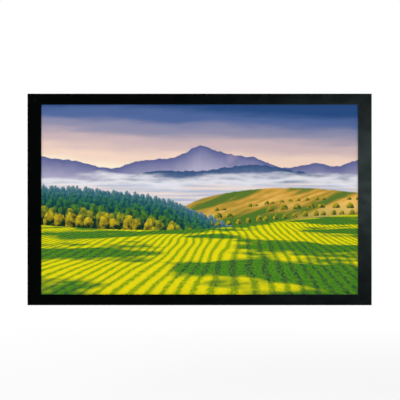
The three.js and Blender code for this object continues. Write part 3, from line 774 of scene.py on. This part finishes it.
def wire_mesh(points, radius):
    """A round wire along a line of points."""
    curve = bpy.data.curves.new("wire", "CURVE")
    curve.dimensions = "3D"
    curve.bevel_depth = radius
    curve.bevel_resolution = 2
    curve.resolution_u = 1
    curve.use_fill_caps = True
    line = curve.splines.new("NURBS")
    line.points.add(len(points) - 1)
    for point, (across, drop, depth) in zip(line.points, points):
        point.co = (across, FRAME_BACK - depth, -drop, 1)
    line.order_u = 3
    line.use_endpoint_u = True
    maker = bpy.data.objects.new("wire", curve)
    bpy.context.scene.collection.objects.link(maker)
    mesh = evaluated_mesh(maker)
    bpy.data.objects.remove(maker)
    return mesh


class SCREEN_OT_rods(bpy.types.Operator):
    """Make the tension rods, each with its row of coil springs"""

    bl_idname = "screen.rods"
    bl_label = "Rods and springs"

    def execute(self, context):
        sizes = context.scene.screen_sizes
        colours = context.scene.screen_colours
        # Pultruded glass fibre: cream and half glossy, with a faint mottle of fibres under the resin.
        glass = moulded_material("pultruded_glass_fibre", colours.rod, 0.4, 2 * MM, 0.02 * MM)
        # Drawn spring wire: bright steel, drawn so smooth that each coil catches a sharp light.
        steel = metal_material("drawn_spring_steel", colours.spring, 0.25, 0.05, 3 * MM)
        depth = FILM_FRONT - sizes.film_thickness - sizes.hem_gap - sizes.rod_radius
        for name, turn, width, _, reach, span, count in sides():
            drop = width - sizes.rod_inset
            bm = bmesh.new()
            along_x = Matrix.Rotation(math.pi / 2, 4, "Y")
            bmesh.ops.create_cone(
                bm,
                cap_ends=True,
                segments=20,
                radius1=sizes.rod_radius,
                radius2=sizes.rod_radius,
                depth=span + 2 * sizes.rod_overrun,
                matrix=Matrix.Translation((0, FRAME_BACK - depth, -drop)) @ along_x,
            )
            caps = [e for f in bm.faces if len(f.verts) > 4 for e in f.edges]
            bmesh.ops.bevel(
                bm, geom=caps, offset=0.4 * MM, affect="EDGES", segments=2, profile=0.5, material=-1
            )
            spring = wire_mesh(spring_path(sizes, drop, depth), sizes.wire_radius)
            for x in spring_places(span, count):
                old = set(bm.faces)
                bm.from_mesh(spring)
                new = [f for f in bm.faces if f not in old]
                for face in new:
                    face.material_index = 1
                verts = list({v for f in new for v in f.verts})
                bmesh.ops.translate(bm, verts=verts, vec=(x, 0, 0))
            bmesh.ops.transform(bm, matrix=side_matrix(turn, reach), verts=bm.verts)
            bmesh.ops.recalc_face_normals(bm, faces=bm.faces)
            mesh = built_mesh(bm, f"{name}_rod_and_springs")
            shade_creased(mesh, WIRE_CREASE)
            piece = new_piece(f"{name}_rod_and_springs", mesh, "spring_steel", glass, steel)
            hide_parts(f"{name}_tension_rod")
        return {"FINISHED"}


def eased_copy(node, slot, ease, material):
    """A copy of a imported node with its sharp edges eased, which stands for the node."""
    bm = bmesh.new()
    bm.from_mesh(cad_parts[node].data)
    bmesh.ops.remove_doubles(bm, verts=bm.verts, dist=0.01 * MM)
    bmesh.ops.dissolve_limit(bm, angle_limit=math.radians(1), verts=bm.verts, edges=bm.edges)
    sharp = [e for e in bm.edges if e.is_manifold and e.calc_face_angle(0) > math.radians(SHARP_EDGE)]
    rounded = bmesh.ops.bevel(
        bm, geom=sharp, offset=ease, affect="EDGES", segments=2, profile=0.5, material=-1
    )["faces"]
    for face in bm.faces:
        face.smooth = face in rounded
    mesh = built_mesh(bm, f"{node}_eased")
    piece = new_piece(f"{node}_eased", mesh, slot, material)
    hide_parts(node)


def screw_mesh(name, low, high, sizes):
    """A button-head screw along Y with its head at the back and a hexagon socket, inside a node's box."""
    tip, back = low.y, high.y
    under = back - sizes.screw_head_height
    shank, head = sizes.screw_radius, sizes.screw_head_radius
    point, edge, crown = 0.5 * MM, 0.4 * MM, head / 2
    profile = [(shank - point, tip), (shank, tip + point), (shank, under), (head, under)]
    for across, along in arc((0, 0), 1, 0, 90, 6):
        profile.append((crown + (head - crown) * across, under + edge + (back - under - edge) * along))
    bm = bmesh.new()
    verts = [bm.verts.new((radius, y, 0)) for radius, y in profile]
    edges = [bm.edges.new(pair) for pair in zip(verts, verts[1:])]
    bmesh.ops.spin(bm, geom=verts + edges, axis=(0, 1, 0), angle=2 * math.pi, steps=24, use_merge=True)
    bmesh.ops.edgeloop_fill(bm, edges=[e for e in bm.edges if e.is_boundary])
    mouth = max(bm.faces, key=lambda f: f.calc_center_median().y)
    bmesh.ops.inset_region(bm, faces=[mouth], thickness=0.2 * MM, use_even_offset=True)
    for vert in mouth.verts:
        angle = math.atan2(vert.co.z, vert.co.x)
        reach = sizes.socket_width / 2 / math.cos(angle % (math.pi / 3) - math.pi / 6)
        vert.co = (reach * math.cos(angle), back, reach * math.sin(angle))
    floor = bmesh.ops.extrude_discrete_faces(bm, faces=[mouth])["faces"]
    bmesh.ops.translate(bm, verts=floor[0].verts, vec=(0, -sizes.socket_depth, 0))
    bmesh.ops.translate(bm, verts=bm.verts, vec=((low.x + high.x) / 2, 0, (low.z + high.z) / 2))
    bmesh.ops.recalc_face_normals(bm, faces=bm.faces)
    mesh = built_mesh(bm, name)
    shade_creased(mesh, CREASE)
    return mesh


class SCREEN_OT_corners(bpy.types.Operator):
    """Finish the corner plates and make their screws"""

    bl_idname = "screen.corners"
    bl_label = "Corner plates and screws"

    def execute(self, context):
        sizes = context.scene.screen_sizes
        # Bright zinc plate: bluish and half glossy, with a faint cloudiness from the plating bath.
        zinc = metal_material("bright_zinc_plate", context.scene.screen_colours.zinc, 0.3, 0.06, 6 * MM)
        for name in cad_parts:
            if name.endswith("_corner_plate"):
                set_material(name, zinc)
            elif "_corner_screw" in name:
                piece_name = f"{name}_turned"
                mesh = screw_mesh(piece_name, *corners(name), sizes)
                piece = new_piece(piece_name, mesh, "zinc_steel", zinc)
                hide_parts(name)
        return {"FINISHED"}


class SCREEN_OT_rails(bpy.types.Operator):
    """Finish the four rails and the support bar"""

    bl_idname = "screen.rails"
    bl_label = "Rails and support bar"

    def execute(self, context):
        colours = context.scene.screen_colours
        across, along = 1.5 * MM, 400 * MM
        lying = aluminium_material(colours, "extruded_aluminium_lying", (along, across, across))
        standing = aluminium_material(colours, "extruded_aluminium_standing", (across, across, along))
        for name, turn, *_ in sides():
            set_material(f"{name}_rail", standing if turn % 180 else lying)
        eased_copy("support_bar", "rail_aluminium", 0.4 * MM, standing)
        return {"FINISHED"}


class SCREEN_OT_fittings(bpy.types.Operator):
    """Finish the wall brackets and the support bar's caps"""

    bl_idname = "screen.fittings"
    bl_label = "Brackets and caps"

    def execute(self, context):
        colours = context.scene.screen_colours
        # Sprayed and baked powder coat: a satin black with a fine orange peel, which breaks up the light.
        powder = moulded_material("textured_powder_coat", colours.powder, 0.55, 0.8 * MM, 0.06 * MM, 0.35)
        # Moulded nylon: a dull black. The mould's grain, about 0.1 mm, is drawn coarser so that it shows.
        nylon = moulded_material("moulded_black_nylon", colours.nylon, 0.5, 0.6 * MM, 0.02 * MM, 0.35)
        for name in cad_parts:
            if "wall_bracket" in name:
                eased_copy(name, "black_powder_coat", 0.5 * MM, powder)
            elif name.endswith("_cap"):
                eased_copy(name, "black_nylon", 0.3 * MM, nylon)
        return {"FINISHED"}


# The camera: lens and sensor in millimetres, and how much of the view's width the frame takes
LENS = 100.0
SENSOR = 36.0
FRAME_SHARE = 344.2 / 400
CAMERA_ASIDE = 2.4 * MM
CAMERA_BELOW = 3.3 * MM
CLIP_END = 100
# The floor: its drop below the screen and half its width in metres, and its glow from near to far
FLOOR_DROP = 0.72
FLOOR_SIZE = 30
SHADOW_RANGE = (2.0, 6.0)
SHADOW_GLOW = (0.86, 1.0)
WORLD_FILL = 0.22
# Lamps by name: place from the middle of the frame's front, width in metres and power in watts
LAMPS = {
    "key": ((-2.2, -4.5, 2.4), 2.5, 150),
    "fill": ((3.0, -4.5, 0.6), 2.5, 75),
    "back": ((-2.6, 3.6, 2.4), 3.5, 140),
}
SHINE_PLACE = (FRAME_WIDTH / 2 - 0.03, -0.5, 0.1)
SHINE_SIZE = 0.3
SHINE_WATTS = 80


def studio_rays(tree):
    """1 for the rays that see the white studio: the camera's, and those that are mirrored or let through."""
    seen = add(tree, "LightPath").node.outputs
    rays = add(tree, "Math MAXIMUM", seen["Is Camera Ray"], seen["Is Glossy Ray"])
    return add(tree, "Math MAXIMUM", rays, seen["Is Transmission Ray"])


def area_lamp(name, place, target, size, watts):
    """A square soft lamp that looks at a target."""
    lamp = bpy.data.lights.new(name, "AREA")
    lamp.size = size
    lamp.energy = watts
    holder = bpy.data.objects.new(name, lamp)
    holder.location = place
    holder.rotation_euler = (target - place).to_track_quat("-Z", "Y").to_euler()
    holder.visible_camera = False
    bpy.context.scene.collection.objects.link(holder)
    return holder


class SCREEN_OT_stage(bpy.types.Operator):
    """Set the floor, the light and the camera"""

    bl_idname = "screen.stage"
    bl_label = "Stage"

    def execute(self, context):
        scene = context.scene
        scene.view_settings.view_transform = "Standard"
        self.camera(scene)
        self.floor(scene)
        self.world(scene)
        self.lamps()
        return {"FINISHED"}

    def camera(self, scene):
        data = bpy.data.cameras.new("camera")
        data.lens = LENS
        data.sensor_width = SENSOR
        data.clip_end = CLIP_END
        camera = bpy.data.objects.new("camera", data)
        widest = FRAME_FRONT + scene.screen_sizes.rim_radius
        away = FRAME_WIDTH / FRAME_SHARE * LENS / SENSOR
        camera.location = (CAMERA_ASIDE, widest - away, FRAME_CENTRE.z - CAMERA_BELOW)
        camera.rotation_euler = (math.radians(90), 0, 0)
        scene.collection.objects.link(camera)
        scene.camera = camera

    def floor(self, scene):
        material, tree, place = new_material("pale_studio_floor")
        diffuse = add(tree, "BsdfDiffuse", (*scene.screen_colours.floor, 1))
        glow = add(tree, "Emission", (1, 1, 1, 1), 1.0)
        # Matt studio board: the lens sees a white sweep, and near the screen it still takes the shadow.
        away = add(tree, "VectorMath DISTANCE", place, (0, 0, FRAME_CENTRE.z))
        white = add(tree, "MapRange", away, *SHADOW_RANGE, *SHADOW_GLOW, interpolation_type="SMOOTHSTEP")
        share = add(tree, "Math MULTIPLY", studio_rays(tree), white)
        add(tree, "OutputMaterial", add(tree, "MixShader", share, diffuse, glow))
        bm = bmesh.new()
        bmesh.ops.create_grid(bm, x_segments=1, y_segments=1, size=FLOOR_SIZE)
        bmesh.ops.translate(bm, verts=bm.verts, vec=(0, 0, CAD_LOW[2] - FLOOR_DROP))
        mesh = built_mesh(bm, "floor")
        mesh.materials.append(material)
        floor = bpy.data.objects.new("floor", mesh)
        scene.collection.objects.link(floor)

    def world(self, scene):
        world = bpy.data.worlds.new("studio")
        world.use_nodes = True
        tree = world.node_tree
        tree.nodes.clear()
        strength = add(tree, "MapRange", studio_rays(tree), 0, 1, WORLD_FILL, 1.0)
        add(tree, "OutputWorld", add(tree, "Background", (1, 1, 1, 1), strength))
        scene.world = world

    def lamps(self):
        centre = Vector((0, FRAME_FRONT, FRAME_CENTRE.z))
        for name, (place, size, watts) in LAMPS.items():
            area_lamp(name, centre + Vector(place), centre, size, watts)
        # Brings out the pile's shine on the right, on the velvet alone: the film keeps the plain level.
        place = centre + Vector(SHINE_PLACE)
        shine = area_lamp("shine", place, place + Vector((0, 1, 0)), SHINE_SIZE, SHINE_WATTS)
        receivers = bpy.data.collections.new("velvet")
        for name, *_ in sides():
            receivers.objects.link(bpy.data.objects[f"{name}_velvet"])
        shine.light_linking.receiver_collection = receivers


class SCREEN_PT_panel(bpy.types.Panel):
    """Lists the screen's pieces, sizes and colours"""

    bl_label = "Projector screen"
    bl_space_type = "VIEW_3D"
    bl_region_type = "UI"
    bl_category = "Screen"

    def draw(self, context):
        for operator in OPERATORS:
            self.layout.operator(operator.bl_idname)
        for group in (context.scene.screen_sizes, context.scene.screen_colours):
            box = self.layout.box()
            for name in group.__annotations__:
                box.prop(group, name)


OPERATORS = (
    SCREEN_OT_velvet,
    SCREEN_OT_film,
    SCREEN_OT_rods,
    SCREEN_OT_corners,
    SCREEN_OT_rails,
    SCREEN_OT_fittings,
    SCREEN_OT_stage,
)
CLASSES = (ScreenSizes, ScreenColours, *OPERATORS, SCREEN_PT_panel)


def register():
    for each in CLASSES:
        bpy.utils.register_class(each)
    bpy.types.Scene.screen_sizes = PointerProperty(type=ScreenSizes)
    bpy.types.Scene.screen_colours = PointerProperty(type=ScreenColours)


def unregister():
    del bpy.types.Scene.screen_colours
    del bpy.types.Scene.screen_sizes
    for each in reversed(CLASSES):
        bpy.utils.unregister_class(each)


def main():
    register()
    bpy.ops.screen.velvet()
    bpy.ops.screen.film()
    bpy.ops.screen.rods()
    bpy.ops.screen.corners()
    bpy.ops.screen.rails()
    bpy.ops.screen.fittings()
    bpy.ops.screen.stage()


if __name__ == "__main__":
    main()
